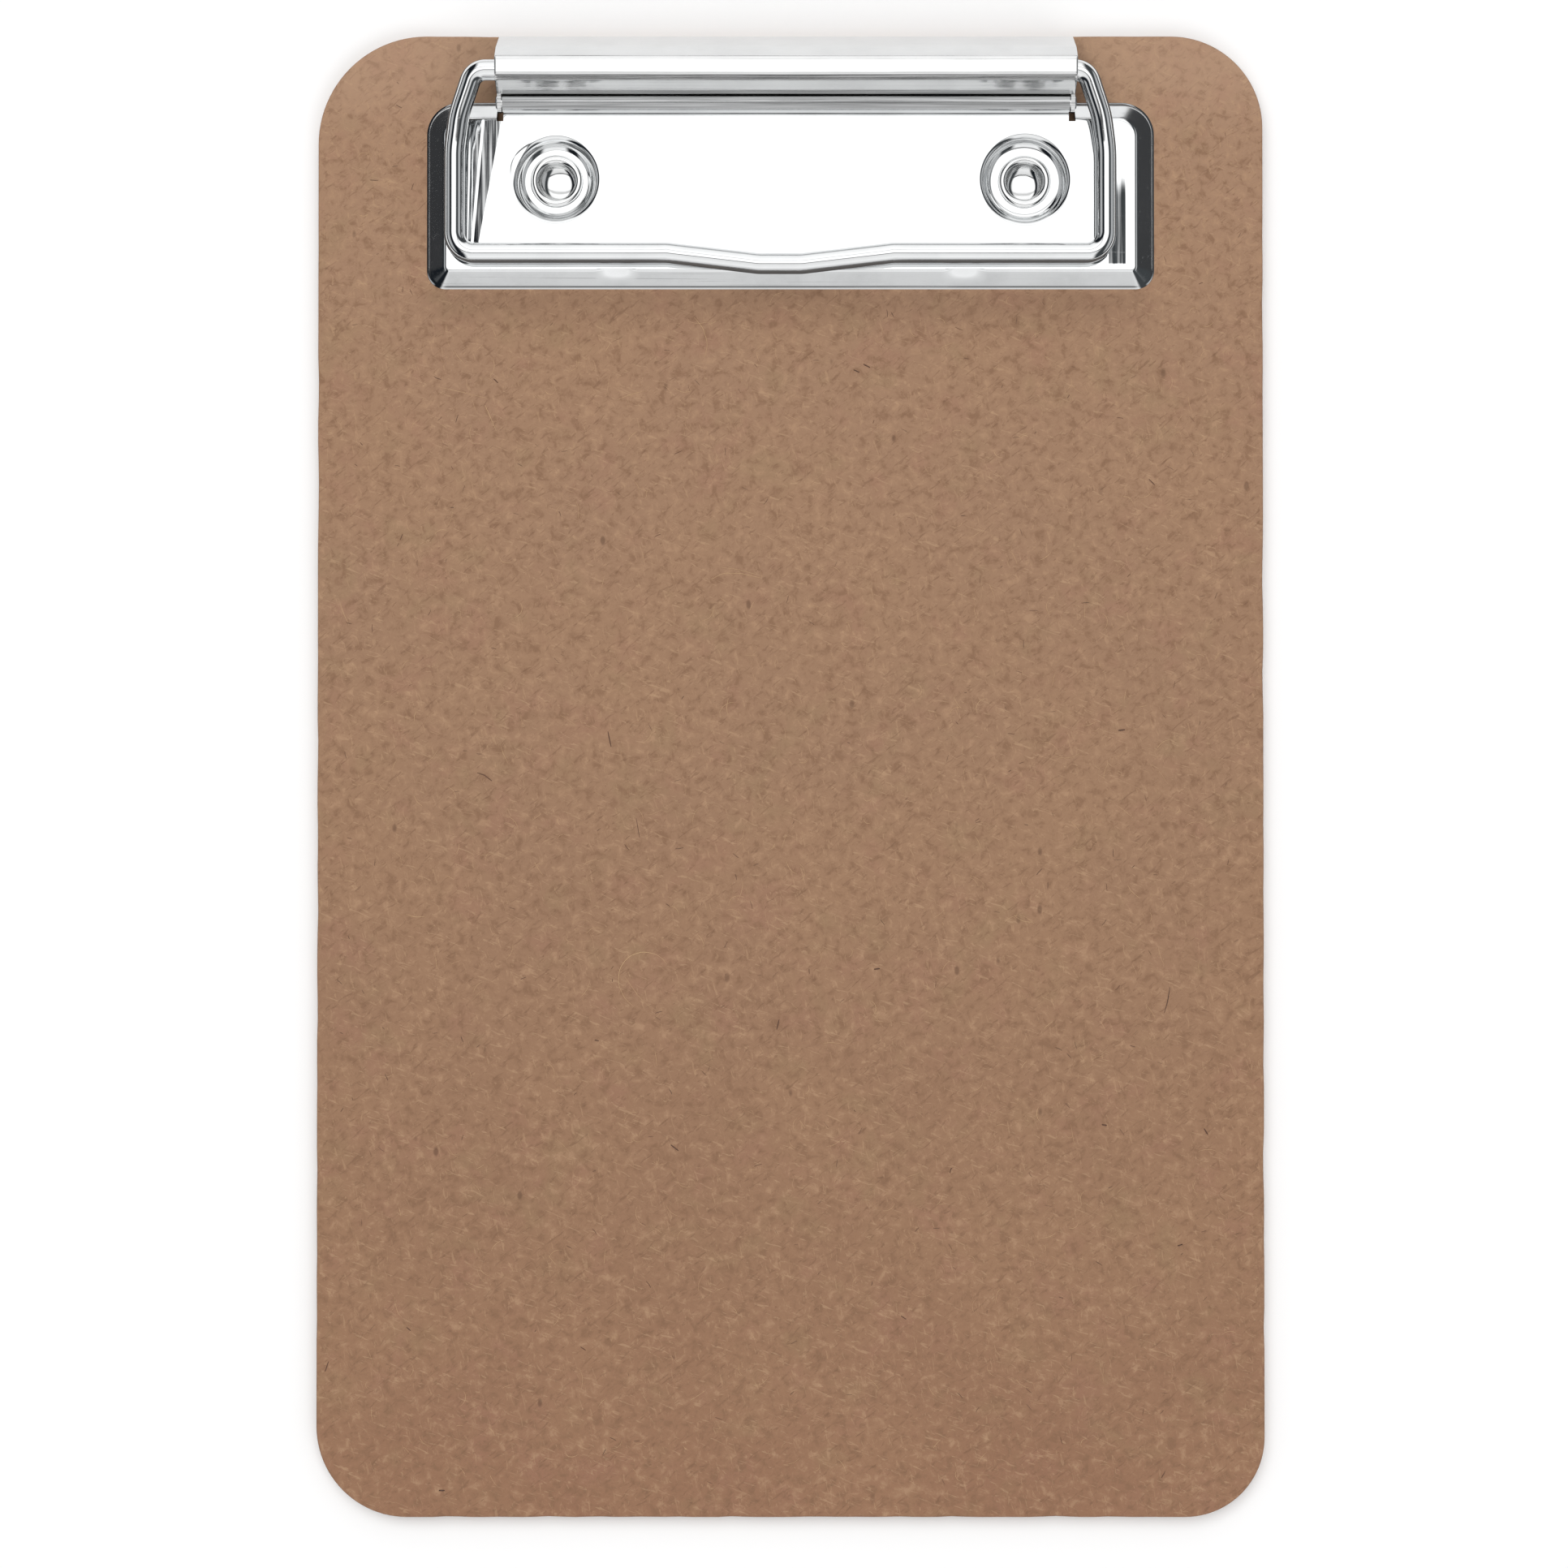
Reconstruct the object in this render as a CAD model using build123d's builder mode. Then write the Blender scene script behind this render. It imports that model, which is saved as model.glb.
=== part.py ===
from build123d import *
import os
from math import sin, cos, radians, hypot

# Clipboard: a hardboard sheet with a low wire clip at its rear edge.
# Millimetres. +Z is out of the writing face, +Y towards the clip end.
# Origin: centre of the board's back face, so the part stands on z = 0.

os.makedirs("parts", exist_ok=True)

# ---------------------------------------------------------------- board
board_w = 138.0            # width, X
board_l = 216.0            # length, Y
board_t = 3.0              # thickness
r_rear_left = 15.8         # corner radii, sawn by hand, so not all alike
r_rear_right = 13.4
r_front_left = 13.2
r_front_right = 11.6
board_edge = 0.35          # broken edge, front and back

# ---------------------------------------------------------------- base plate
zb = board_t               # the writing face, where the plate stands
plate_x = 53.1             # half width at the foot of the bevel
plate_y0 = 70.9            # front foot
plate_y1 = 98.2            # rear foot
plate_h = 2.4              # height of the flat over the board
bevel = 2.9                # level run of the bevel at the sides and the rear
bevel_front = 2.3          # and at the front, which is steeper
sheet_p = 0.7              # plate sheet thickness
r_foot_front = 2.7         # plan corner radii at the foot
r_foot_rear = 4.8
r_flat_front = 0.8         # and at the flat
r_flat_rear = 2.6
bend_r = 0.55              # outer radius of the bend round the flat

dart_x = 25.3              # stiffening darts across the front bend
dart_w = 4.2

# ---------------------------------------------------------------- rivets
rivet_x = 34.1
rivet_y = 86.5
dimple_r_top = 6.3         # dimple at the flat
dimple_r_floor = 5.0       # and at its floor, which lies on the board
shank_r = 3.0
bore_r = 2.6
roll_r_out = 3.85          # rolled rim
head_r = 5.5
head_t = 0.95
head_sink = 0.05           # head lies this far inside the back face
bore_bottom = 1.7          # height of the blind end over the back face

# ---------------------------------------------------------------- hinge
rod_r = 0.75
curl_in = 0.80             # the plate's rear curl, 0.05 mm clear of the rod
curl_out = curl_in + sheet_p
hinge_y = 97.5
hinge_z = zb + plate_h + curl_in
clip_shift = -0.65         # the curl is this far off the plate's centre
curl_half = 41.1           # half length of the curl

# ---------------------------------------------------------------- lever
sheet_l = 0.6
lever_half = 41.85
front_edge = (98.36, zb + 4.64)     # outer corners of the lever's section
top_f = (100.0, zb + 8.6)
top_r = (102.85, zb + 8.8)
shoulder = (104.75, zb + 6.7)
lip = (107.65, zb + 1.2)
cheek_r = 1.5              # round end of the cheek, about the rod

# ---------------------------------------------------------------- jaw wire
wire_r = 1.5
shank_y = 101.6            # axis of the wire's ends in the lever cheeks
shank_z = zb + 5.85
wire_shift = -1.5          # side play, as it sits
leg_x = 47.2               # half distance between the legs
bar_y = 75.5
bar_z = zb + plate_h + wire_r + 0.05
vee_x = 16.4               # where the V of the front bar starts
vee_tip = 3.1
vee_drop = 1.55

# ================================================================ board
with BuildPart() as board:
    with BuildSketch():
        with BuildLine():
            hx, hy = board_w / 2, board_l / 2
            FilletPolyline(
                (-hx, hy), (-hx, -hy), (hx, -hy), (hx, hy), close=True,
                radius=[r_rear_left, r_front_left, r_front_right, r_rear_right])
        make_face()
    extrude(amount=board_t)
    rim = board.edges().filter_by(lambda e: abs(e.center().Z - board_t) < 1e-4
                                  or abs(e.center().Z) < 1e-4)
    chamfer(rim, length=board_edge)
    with Locations((-rivet_x, rivet_y, 0), (rivet_x, rivet_y, 0)):
        Cylinder(shank_r + 0.05, board_t, mode=Mode.SUBTRACT,
                 align=(Align.CENTER, Align.CENTER, Align.MIN))
        Cylinder(head_r + 0.1, head_sink + head_t, mode=Mode.SUBTRACT,
                 align=(Align.CENTER, Align.CENTER, Align.MIN))
board.part.label = "board"


# ================================================================ base plate
def plate_corners(inset):
    """Corners of the plate's outline at one height, inset from its foot."""
    x = plate_x - inset
    y0, y1 = plate_y0 + inset * bevel_front / bevel, plate_y1 - inset
    return [(x, y0), (x, y1), (-x, y1), (-x, y0)]


wall = sheet_p * hypot(plate_h, bevel) / plate_h      # the sloping wall, measured level
inner_h = plate_h - sheet_p
inner_run = inner_h * bevel / plate_h

# the hollow under the plate
with BuildPart() as plate_core:
    with BuildSketch(Plane.XY.offset(zb)):
        with BuildLine():
            FilletPolyline(*plate_corners(wall), close=True,
                           radius=[2.0, 3.9, 3.9, 2.0])
        make_face()
    with BuildSketch(Plane.XY.offset(zb + inner_h)):
        with BuildLine():
            FilletPolyline(*plate_corners(wall + inner_run), close=True,
                           radius=[0.6, 2.3, 2.3, 0.6])
        make_face()
    loft()

with BuildPart() as base_plate:
    with BuildSketch(Plane.XY.offset(zb)):
        with BuildLine():
            FilletPolyline(*plate_corners(0.0), close=True,
                           radius=[r_foot_front, r_foot_rear, r_foot_rear, r_foot_front])
        make_face()
    with BuildSketch(Plane.XY.offset(zb + plate_h)):
        with BuildLine():
            FilletPolyline(*plate_corners(bevel), close=True,
                           radius=[r_flat_front, r_flat_rear, r_flat_rear, r_flat_front])
        make_face()
    loft()
    top_edges = base_plate.faces().sort_by(Axis.Z)[-1].edges()
    fillet(top_edges, radius=bend_r)
    add(plate_core.part, mode=Mode.SUBTRACT)
    # two dimples that carry the rivets down to the board
    with Locations((-rivet_x, rivet_y, zb), (rivet_x, rivet_y, zb)):
        Cone(dimple_r_floor + 0.5, dimple_r_top + 0.7, plate_h - 0.3,
             align=(Align.CENTER, Align.CENTER, Align.MIN))
    with Locations((-rivet_x, rivet_y, zb + sheet_p), (rivet_x, rivet_y, zb + sheet_p)):
        Cone(dimple_r_floor, dimple_r_top, plate_h - sheet_p,
             align=(Align.CENTER, Align.CENTER, Align.MIN), mode=Mode.SUBTRACT)
    with Locations((-rivet_x, rivet_y, zb), (rivet_x, rivet_y, zb)):
        Cylinder(shank_r + 0.05, sheet_p, mode=Mode.SUBTRACT,
                 align=(Align.CENTER, Align.CENTER, Align.MIN))
    # behind the flat the sheet runs on, level, into a curl for the rod
    with BuildSketch(Plane.XY.offset(zb)):
        with Locations((clip_shift, 97.0)):
            Rectangle(2 * (curl_half + 1.25), 4.6)
    extrude(amount=plate_h + 0.1, mode=Mode.SUBTRACT)
    with BuildSketch(Plane.YZ.offset(clip_shift - curl_half)):
        with Locations(((94.0 + hinge_y) / 2, zb + inner_h + sheet_p / 2)):
            Rectangle(hinge_y - 94.0, sheet_p)
        with Locations((hinge_y, hinge_z)):
            Circle(curl_out)
            Circle(curl_in, mode=Mode.SUBTRACT)
        # the curl's end stops just over the flat
        with BuildLine():
            Polyline((hinge_y, hinge_z),
                     (hinge_y + 1.58 * cos(radians(199)), hinge_z + 1.58 * sin(radians(199))),
                     (hinge_y + 1.58 * cos(radians(206)), hinge_z + 1.58 * sin(radians(206))),
                     (hinge_y, hinge_z))
        make_face(mode=Mode.SUBTRACT)
    extrude(amount=2 * curl_half)
base_plate.part.label = "clip_base_plate"


# ================================================================ rivets
def rivet(x):
    roll_c = (bore_r + roll_r_out) / 2
    roll_m = (roll_r_out - bore_r) / 2
    z_floor = zb + sheet_p
    with BuildPart() as body:
        with BuildSketch(Plane.XZ):
            with BuildLine():
                Polyline((0, head_sink), (head_r - 0.5, head_sink))
                Line((head_r - 0.5, head_sink), (head_r, head_sink + 0.45))
                Polyline((head_r, head_sink + 0.45), (head_r, head_sink + head_t),
                         (shank_r, head_sink + head_t), (shank_r, z_floor),
                         (roll_r_out, z_floor))
                ThreePointArc((roll_r_out, z_floor), (roll_c, z_floor + roll_m),
                              (bore_r, z_floor))
                Polyline((bore_r, z_floor), (bore_r, bore_bottom + 0.5),
                         (0, bore_bottom), (0, head_sink))
            make_face()
        revolve(axis=Axis.Z)
    return Pos(x, rivet_y, 0) * body.part


rivet_left = rivet(-rivet_x)
rivet_left.label = "rivet_left"
rivet_right = rivet(rivet_x)
rivet_right.label = "rivet_right"

# ================================================================ pivot rod
rod_half = lever_half + 0.3
with BuildPart() as pivot_rod:
    with BuildSketch(Plane.YZ.offset(clip_shift - rod_half)):
        with Locations((hinge_y, hinge_z)):
            Circle(rod_r)
    extrude(amount=2 * rod_half)
    # peened ends outside the cheeks
    with BuildSketch(Plane.YZ.offset(clip_shift + lever_half)):
        with Locations((hinge_y, hinge_z)):
            Circle(rod_r + 0.3)
    extrude(amount=0.3)
    with BuildSketch(Plane.YZ.offset(clip_shift - lever_half)):
        with Locations((hinge_y, hinge_z)):
            Circle(rod_r + 0.3)
    extrude(amount=-0.3)
pivot_rod.part.label = "pivot_rod"


# ================================================================ lever
# The section is drawn in the YZ plane: the front slope, a flat top, a
# shoulder and the rear slope down to the lip.
def offset_chain(points, d):
    """Mitred offset of an open chain, to the right of its direction."""
    out = []
    n = len(points)
    for i in range(n):
        dirs = []
        if i > 0:
            dirs.append((points[i][0] - points[i - 1][0], points[i][1] - points[i - 1][1]))
        if i < n - 1:
            dirs.append((points[i + 1][0] - points[i][0], points[i + 1][1] - points[i][1]))
        ns = []
        for dx, dy in dirs:
            m = hypot(dx, dy)
            ns.append((dy / m, -dx / m))
        bx, by = sum(v[0] for v in ns), sum(v[1] for v in ns)
        m2 = bx * bx + by * by
        k = 2.0 / m2 * d if len(ns) == 2 else d
        out.append((points[i][0] + bx * k, points[i][1] + by * k))
    return out


outer = [front_edge, top_f, top_r, shoulder, lip]
inner = offset_chain(outer, sheet_l)
mid = offset_chain(outer, sheet_l / 2)

with BuildPart() as lever:
    with BuildSketch(Plane.YZ.offset(clip_shift - lever_half)):
        with BuildLine():
            FilletPolyline(*outer, radius=[0.95, 1.0, 2.6])
            FilletPolyline(*inner, radius=[0.35, 0.4, 2.0])
            Line(outer[0], inner[0])
            Line(outer[-1], inner[-1])
        make_face()
    extrude(amount=2 * lever_half)
    # a cheek closes each end; it turns on the rod and carries the wire
    for x0, dx in ((clip_shift - lever_half, sheet_l), (clip_shift + lever_half, -sheet_l)):
        with BuildSketch(Plane.YZ.offset(x0)):
            with BuildLine():
                FilletPolyline((hinge_y - 0.9, hinge_z + 1.2), mid[0], mid[1], mid[2], mid[3],
                               (106.5, zb + 3.1), (101.5, zb + 2.4),
                               (hinge_y, hinge_z - cheek_r), close=True,
                               radius=[0, 0, 0.5, 0.6, 1.6, 0.3, 0.6, 0])
            make_face()
            with Locations((hinge_y, hinge_z)):
                Circle(cheek_r)
                Circle(rod_r, mode=Mode.SUBTRACT)
            with Locations((shank_y, shank_z)):
                Circle(wire_r + 0.05, mode=Mode.SUBTRACT)
        extrude(amount=dx)
lever.part.label = "clip_lever"

# ================================================================ jaw wire
w = wire_shift
leg = [
    (38.6, shank_y, shank_z),
    (44.2, shank_y, shank_z),
    (46.5, 95.3, bar_z + 0.75),
    (leg_x, 90.5, bar_z),
    (leg_x, bar_y, bar_z),
    (vee_x, bar_y, bar_z),
    (vee_tip, bar_y - vee_drop, bar_z),
]
path_pts = ([(w - x, y, z) for x, y, z in leg]
            + [(w + x, y, z) for x, y, z in reversed(leg)])
path_r = [2.4, 14.0, 12.0, 2.9, 4.0, 6.0, 6.0, 4.0, 2.9, 12.0, 14.0, 2.4]

with BuildPart() as jaw_wire:
    with BuildLine() as route:
        FilletPolyline(*path_pts, radius=path_r)
    with BuildSketch(Plane(origin=path_pts[0], z_dir=(-1, 0, 0))):
        Circle(wire_r)
    sweep(path=route.wires()[0])
jaw_wire.part.label = "jaw_wire"

# ================================================================ files
export_step(board.part, "parts/board.step")
export_step(base_plate.part, "parts/clip_base_plate.step")
export_step(rivet_left, "parts/rivet_left.step")
export_step(rivet_right, "parts/rivet_right.step")
export_step(pivot_rod.part, "parts/pivot_rod.step")
export_step(lever.part, "parts/clip_lever.step")
export_step(jaw_wire.part, "parts/jaw_wire.step")
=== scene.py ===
import math
import random

import bpy
import bmesh
import numpy as np
from mathutils import Matrix, Vector
from mathutils.geometry import tessellate_polygon


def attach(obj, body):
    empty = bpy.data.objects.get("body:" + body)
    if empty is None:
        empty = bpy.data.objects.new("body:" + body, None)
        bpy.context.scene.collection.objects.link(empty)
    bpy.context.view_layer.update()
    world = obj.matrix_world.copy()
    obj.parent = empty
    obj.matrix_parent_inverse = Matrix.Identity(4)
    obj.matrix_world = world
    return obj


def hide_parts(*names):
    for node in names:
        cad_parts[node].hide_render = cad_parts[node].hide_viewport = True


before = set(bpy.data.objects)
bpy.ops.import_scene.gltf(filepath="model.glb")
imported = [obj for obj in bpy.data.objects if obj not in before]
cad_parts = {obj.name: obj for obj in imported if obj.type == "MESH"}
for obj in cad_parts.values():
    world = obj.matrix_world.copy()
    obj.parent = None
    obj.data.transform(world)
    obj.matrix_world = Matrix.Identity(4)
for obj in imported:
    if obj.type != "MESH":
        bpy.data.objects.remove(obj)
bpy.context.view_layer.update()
MM = 0.001
rnd = random.Random(41)

# ------------------------------------------------------------------ dimensions, mm
ZB = 3.0                       # writing face
PX, PY0, PY1 = 53.1, 70.9, 98.2
PH, BEV, SP = 2.4, 2.9, 0.7    # plate height, bevel run at the sides and rear, sheet
BEV_FRONT = 2.3
RIVET_X, RIVET_Y = 34.1, 86.5
HY, HZ = 97.5, ZB + 3.2        # hinge axis
SHIFT = -0.65
CURL_IN, CURL_OUT, CURL_HALF = 0.80, 1.50, 41.1
LEVER_HALF, SL = 41.85, 0.6
SHY, SHZ = 101.6, ZB + 5.85    # wire shank axis
W = -1.5                       # wire's side play
WR = 1.5
BAR_Y, BAR_Z = 75.5, ZB + PH + WR + 0.05
LEG_X, VEE_X, VEE_TIP, VEE_DROP = 47.2, 16.4, 3.1, 1.55


# ------------------------------------------------------------------ mesh helpers
def smoothstep(a, b, x):
    t = min(1.0, max(0.0, (x - a) / (b - a)))
    return t * t * (3 - 2 * t)


def fillet_path(points, radii, step_deg=4.0):
    """Points along an open polyline whose inner corners are rounded by arcs."""
    pts = [Vector(p).to_3d() for p in points]
    out = [pts[0]]
    for i in range(1, len(pts) - 1):
        a, b, c = pts[i - 1], pts[i], pts[i + 1]
        u, v = (a - b).normalized(), (c - b).normalized()
        turn = math.pi - u.angle(v)
        r = radii[i - 1]
        if r <= 0 or turn < 1e-4:
            out.append(b)
            continue
        t = r * math.tan(turn / 2)
        p0, p1 = b + u * t, b + v * t
        centre = b + (u + v).normalized() * (r / math.cos(turn / 2))
        n = max(2, int(math.ceil(math.degrees(turn) / step_deg)))
        e0, e1 = p0 - centre, p1 - centre
        for k in range(n + 1):
            f = k / n
            s = math.sin(turn)
            out.append(centre + e0 * (math.sin((1 - f) * turn) / s) + e1 * (math.sin(f * turn) / s))
    out.append(pts[-1])
    clean = [out[0]]
    for p in out[1:]:
        if (p - clean[-1]).length > 1e-4:
            clean.append(p)
    return clean


def resample(path, gap):
    """Adds points so that no step along the path is longer than gap."""
    out = [path[0]]
    for a, b in zip(path, path[1:]):
        n = max(1, int(math.ceil((b - a).length / gap)))
        for k in range(1, n + 1):
            out.append(a.lerp(b, k / n))
    return out


def make_object(name, verts, faces, mat, body, nodes=(), sharp=None, bevel=None, mm=True):
    me = bpy.data.meshes.new(name)
    me.from_pydata([tuple(c * MM for c in v) if mm else tuple(v) for v in verts], [], faces)
    me.validate()
    bm = bmesh.new()
    bm.from_mesh(me)
    bmesh.ops.remove_doubles(bm, verts=bm.verts, dist=1e-7)
    bmesh.ops.recalc_face_normals(bm, faces=bm.faces)
    bm.to_mesh(me)
    bm.free()
    ob = bpy.data.objects.new(name, me)
    bpy.context.scene.collection.objects.link(ob)
    for p in me.polygons:
        p.use_smooth = True
    me.materials.append(mat)
    if bevel:
        b = ob.modifiers.new("edge", "BEVEL")
        b.width = bevel * MM
        b.segments = 3
        b.limit_method = "ANGLE"
        b.angle_limit = math.radians(40)
        b.harden_normals = False
    wn = ob.modifiers.new("normals", "WEIGHTED_NORMAL")
    wn.mode = "FACE_AREA"
    wn.weight = 60
    wn.keep_sharp = True
    bake_modifiers(ob)
    if body:
        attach(ob, body)
    if nodes:
        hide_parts(*nodes)
    return ob


def bake_modifiers(ob):
    """The modifiers' result becomes the mesh."""
    deps = bpy.context.evaluated_depsgraph_get()
    deps.update()
    me = bpy.data.meshes.new_from_object(ob.evaluated_get(deps), preserve_all_data_layers=True,
                                         depsgraph=deps)
    old = ob.data
    ob.modifiers.clear()
    ob.data = me
    me.name = ob.name
    bpy.data.meshes.remove(old)


def tube(path, radius, nseg=48, squeeze=None):
    """A closed tube along a path: parallel transported rings, round ends."""
    n = len(path)
    tang = []
    for i in range(n):
        a = path[max(0, i - 1)]
        b = path[min(n - 1, i + 1)]
        tang.append((b - a).normalized())
    ref = Vector((0, 0, 1)) if abs(tang[0].z) < 0.9 else Vector((1, 0, 0))
    u = (ref - tang[0] * ref.dot(tang[0])).normalized()
    verts, faces = [], []
    rings = []

    def ring(c, t, u, r):
        v = t.cross(u)
        idx = []
        for k in range(nseg):
            a = 2 * math.pi * k / nseg
            idx.append(len(verts))
            verts.append(c + (u * math.cos(a) + v * math.sin(a)) * r)
        return idx

    # both ends are broken at the edge
    for ahead, k in ((0.0, 0.80), (0.14, 0.95), (0.30, 1.0)):
        rings.append(ring(path[0] + tang[0] * ahead, tang[0], u, radius * k))
    for i in range(1, n - 1):
        u = (u - tang[i] * u.dot(tang[i])).normalized()
        r = radius
        rings.append(ring(path[i], tang[i], u, r))
    u = (u - tang[-1] * u.dot(tang[-1])).normalized()
    for back, k in ((0.30, 1.0), (0.14, 0.95), (0.0, 0.80)):
        rings.append(ring(path[-1] - tang[-1] * back, tang[-1], u, radius * k))
    for a, b in zip(rings, rings[1:]):
        for k in range(nseg):
            j = (k + 1) % nseg
            faces.append((a[k], a[j], b[j], b[k]))
    faces.append(tuple(reversed(rings[0])))
    faces.append(tuple(rings[-1]))
    return verts, faces


def revolve(profile, cx, cy, nseg=96, phase=0.0):
    """Turns (r, z) points about the vertical axis at cx, cy. r = 0 closes on the axis."""
    verts, faces, rings = [], [], []
    for r, z in profile:
        if r < 1e-6:
            rings.append([len(verts)] * nseg)
            verts.append(Vector((cx, cy, z)))
        else:
            idx = []
            for k in range(nseg):
                a = 2 * math.pi * k / nseg + phase
                idx.append(len(verts))
                verts.append(Vector((cx + r * math.cos(a), cy + r * math.sin(a), z)))
            rings.append(idx)
    for a, b in zip(rings, rings[1:]):
        for k in range(nseg):
            j = (k + 1) % nseg
            f = []
            for q in (a[k], a[j], b[j], b[k]):
                if q not in f:
                    f.append(q)
            if len(f) > 2:
                faces.append(tuple(f))
    return verts, faces


def arc2(cx, cy, r, a0, a1, n):
    return [(cx + r * math.cos(math.radians(a0 + (a1 - a0) * k / n)),
             cy + r * math.sin(math.radians(a0 + (a1 - a0) * k / n))) for k in range(n + 1)]


# ------------------------------------------------------------------ node helpers
class Nodes:
    """Small helper for building node materials."""

    def __init__(self, tree):
        self.t = tree

    def add(self, kind, **inputs):
        n = self.t.nodes.new(kind)
        for k, v in inputs.items():
            if k.startswith("p_"):
                setattr(n, k[2:], v)
            else:
                key = int(k[1:]) if k[0] == "i" and k[1:].isdigit() else k.replace("_", " ")
                self.set(n.inputs[key], v)
        return n

    def set(self, socket, v):
        if isinstance(v, bpy.types.NodeSocket):
            self.t.links.new(v, socket)
        else:
            socket.default_value = v

    def math(self, op, a, b=None, c=None, clamp=False):
        n = self.t.nodes.new("ShaderNodeMath")
        n.operation = op
        n.use_clamp = clamp
        for i, v in enumerate((a, b, c)):
            if v is not None:
                self.set(n.inputs[i], v)
        return n.outputs[0]

    def noise(self, vec, scale, detail=3.0, rough=0.5, distort=0.0):
        n = self.add("ShaderNodeTexNoise", Vector=vec, Scale=scale, Detail=detail, Roughness=rough,
                     Distortion=distort)
        return n.outputs["Fac"]

    def ramp(self, fac, stops, interp="LINEAR"):
        n = self.t.nodes.new("ShaderNodeValToRGB")
        n.color_ramp.interpolation = interp
        e = n.color_ramp.elements
        while len(e) < len(stops):
            e.new(0.5)
        for el, (pos, col) in zip(e, stops):
            el.position = pos
            el.color = (*col, 1.0) if len(col) == 3 else col
        self.set(n.inputs[0], fac)
        return n.outputs[0]

    def map(self, v, a0, a1, b0, b1, smooth=False):
        n = self.t.nodes.new("ShaderNodeMapRange")
        n.clamp = True
        if smooth:
            n.interpolation_type = "SMOOTHSTEP"
        self.set(n.inputs[0], v)
        for i, x in enumerate((a0, a1, b0, b1)):
            n.inputs[i + 1].default_value = x
        return n.outputs[0]

    def mix(self, fac, a, b, kind="MIX"):
        n = self.t.nodes.new("ShaderNodeMix")
        n.data_type = "RGBA"
        n.blend_type = kind
        n.clamp_factor = True
        self.set(n.inputs["Factor"], fac)
        for s, v in ((n.inputs[6], a), (n.inputs[7], b)):
            if isinstance(v, (tuple, list)):
                v = (*v, 1.0) if len(v) == 3 else v
            self.set(s, v)
        return n.outputs[2]


def srgb(r, g, b):
    def f(c):
        c /= 255.0
        return c / 12.92 if c <= 0.04045 else ((c + 0.055) / 1.055) ** 2.4
    return (f(r), f(g), f(b))


def new_material(name):
    m = bpy.data.materials.new(name)
    m.use_nodes = True
    m.node_tree.nodes.clear()
    n = Nodes(m.node_tree)
    out = n.add("ShaderNodeOutputMaterial")
    bsdf = n.add("ShaderNodeBsdfPrincipled")
    m.node_tree.links.new(bsdf.outputs[0], out.inputs[0])
    coord = n.add("ShaderNodeTexCoord").outputs["Object"]
    return m, n, bsdf, coord


# ------------------------------------------------------------------ materials
def plated(name, tint, rough, wave, scratch, wave_scale=90.0, relief=None, drawn=0.0,
           curl_shade_and_rough=False):
    """Bright nickel plate: soft waviness, hairline scratches, faint smudges; optionally painted shade on the rolled
    rear edge.
    """
    m, n, bsdf, co = new_material(name)
    smudge = n.noise(co, 150.0, 4.0, 0.6)
    fine = n.noise(co, 1400.0, 2.0, 0.5)
    stretch = n.add("ShaderNodeMapping", Vector=co, Scale=(30.0, 2600.0, 2600.0)).outputs[0]
    hair = n.noise(stretch, 1.0, 2.0, 0.55, 0.3)
    hair_mask = n.map(hair, 0.63, 0.75, 0.0, 1.0, True)
    tone = n.mix(n.map(smudge, 0.35, 0.75, 0.0, 1.0, True), tint,
                 tuple(c * 0.94 for c in tint))
    tone = n.mix(n.math("MULTIPLY", hair_mask, 0.10), tone, tuple(c * 0.7 for c in tint))
    curl = None
    if curl_shade_and_rough:
        # painted shade: the colour of the plate's rolled rear edge is darkened, in streaks along its length; the
        # edge is also made rougher
        cx, cy, cz = n.add("ShaderNodeSeparateXYZ", Vector=co).outputs
        streak = n.noise(n.add("ShaderNodeMapping", Vector=co, Scale=(45.0, 2200.0, 2200.0)).outputs[0],
                         1.0, 3.0, 0.6)
        curl = n.math("MULTIPLY", n.map(cz, 0.0056, 0.0062, 0.0, 1.0),
                      n.map(cy, 0.0962, 0.0966, 0.0, 1.0))
        tone = n.mix(n.math("MULTIPLY", curl, n.map(streak, 0.35, 0.65, 0.60, 1.0)), tone,
                     tuple(c * 0.30 for c in tint))
    n.set(bsdf.inputs["Base Color"], tone)
    bsdf.inputs["Metallic"].default_value = 1.0
    r = n.math("ADD", n.map(smudge, 0.4, 0.8, rough, rough + 0.05), n.map(fine, 0.3, 0.7, 0.0, 0.015))
    r = n.math("ADD", r, n.math("MULTIPLY", hair_mask, scratch))
    if curl is not None:
        r = n.math("ADD", r, n.math("MULTIPLY", curl, 0.10))
    n.set(bsdf.inputs["Roughness"], r)
    swell = n.noise(co, wave_scale, 2.0, 0.4)
    ripple = n.noise(co, 420.0, 2.0, 0.5)
    h = n.math("ADD", n.math("MULTIPLY", swell, wave), n.math("MULTIPLY", ripple, wave * 0.06))
    h = n.math("SUBTRACT", h, n.math("MULTIPLY", hair_mask, 0.0000012))
    if drawn:
        # die lines that run the length of the pressing
        lines = n.noise(n.add("ShaderNodeMapping", Vector=co, Scale=(14.0, 1500.0, 1500.0)).outputs[0],
                        1.0, 3.0, 0.6)
        h = n.math("ADD", h, n.math("MULTIPLY", lines, drawn))
    bump = n.add("ShaderNodeBump", Height=h, Distance=1.0, Strength=1.0)
    if relief:
        n.set(bump.inputs["Normal"], relief(n, co))
    n.set(bsdf.inputs["Normal"], bump.outputs[0])
    return m


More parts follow.
